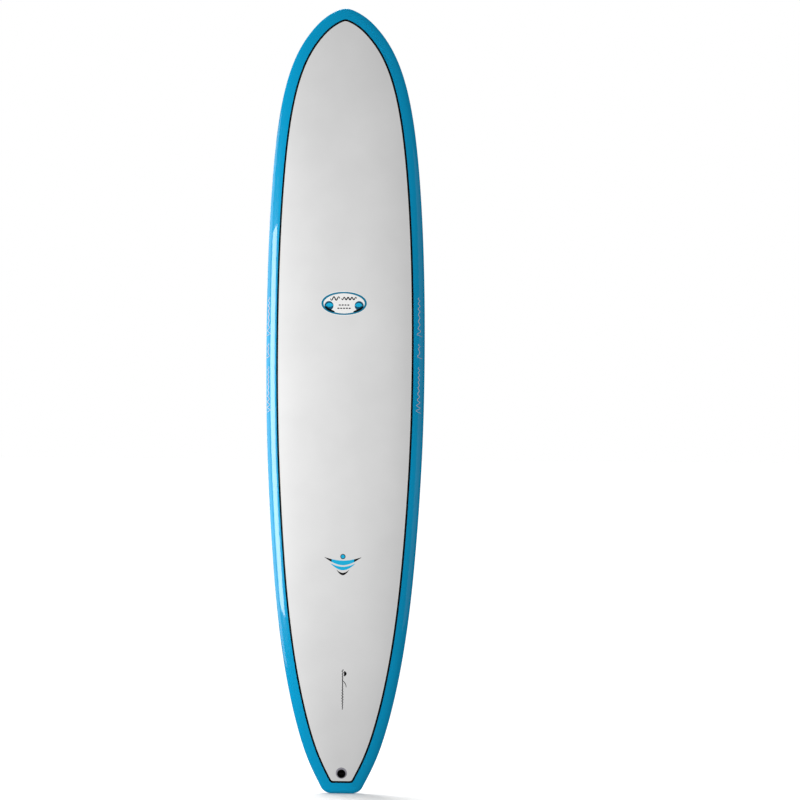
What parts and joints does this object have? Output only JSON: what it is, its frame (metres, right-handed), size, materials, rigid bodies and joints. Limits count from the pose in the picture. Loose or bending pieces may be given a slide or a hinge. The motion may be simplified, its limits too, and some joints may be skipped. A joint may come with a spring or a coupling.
{
  "type": "surfboard",
  "caption": "Longboard surfboard with rounded nose, squared tail, pinlined deck, glossy rails, centre fin box, side fin boxes and a leash plug; no fins fitted.",
  "frame": {"origin": "middle of the tail end, at the lowest point, centred in width and in depth", "axes": "+Z from the tail to the nose, -Y out of the deck, +Y out of the bottom, +X to the rider's right"},
  "size_m": [0.5904, 0.1373, 2.896],
  "materials": {
    "deck_laminate": "fine sanded, satin glass and epoxy laminate, light grey",
    "gloss_blue": "polished high-gloss blue painted laminate",
    "black_line": "gloss black resin line",
    "core_foam": "white expanded polystyrene bead foam",
    "sheet_foam": "closed-cell PVC sheet foam",
    "dense_foam": "high-density foam",
    "box_plastic": "moulded fibre-filled plastic, grey-brown",
    "black_plastic": "moulded black plastic",
    "grey_plastic": "moulded translucent grey plastic",
    "stainless": "stainless steel",
    "teal_print": "printed laminate under gloss, teal and white",
    "white_print": "printed laminate under gloss, white",
    "black_print": "printed laminate under gloss, black"
  },
  "bodies": {
    "board": {"foam_core": "core_foam", "deck_foam_sheet": "sheet_foam", "bottom_foam_sheet": "sheet_foam", "deck_skin": "deck_laminate", "bottom_rail_skin": "gloss_blue", "pinline": "black_line", "centre_fin_box": "box_plastic", "centre_fin_box_block": "dense_foam", "left_fin_box": "box_plastic", "left_fin_box_pad": "dense_foam", "right_fin_box": "box_plastic", "right_fin_box_pad": "dense_foam", "leash_plug_cup": "black_plastic", "leash_plug_ring": "grey_plastic", "leash_plug_bar": "black_plastic", "leash_plug_block": "dense_foam", "deck_badge": "teal_print", "deck_emblem": "teal_print", "bottom_badge": "white_print", "bottom_emblem": "white_print", "bottom_round_mark": "black_print", "bottom_capsule_mark": "white_print", "tail_mark": "white_print"},
    "grub_screw_left_front": {"grub_screw_left_front": "stainless"},
    "grub_screw_left_rear": {"grub_screw_left_rear": "stainless"},
    "grub_screw_right_front": {"grub_screw_right_front": "stainless"},
    "grub_screw_right_rear": {"grub_screw_right_rear": "stainless"}
  },
  "joints": [
    {"name": "left_front_screw_travel", "type": "slide", "parent": "board", "child": "grub_screw_left_front", "axis": [-0.5736, -0.8174, 0.0534], "range_m": [-0.0012, 0.004]},
    {"name": "left_rear_screw_travel", "type": "slide", "parent": "board", "child": "grub_screw_left_rear", "axis": [0.5736, -0.8174, 0.0534], "range_m": [-0.0012, 0.004]},
    {"name": "right_front_screw_travel", "type": "slide", "parent": "board", "child": "grub_screw_right_front", "axis": [0.5736, -0.8174, 0.0534], "range_m": [-0.0012, 0.004]},
    {"name": "right_rear_screw_travel", "type": "slide", "parent": "board", "child": "grub_screw_right_rear", "axis": [-0.5736, -0.8174, 0.0534], "range_m": [-0.0012, 0.004]}
  ]
}
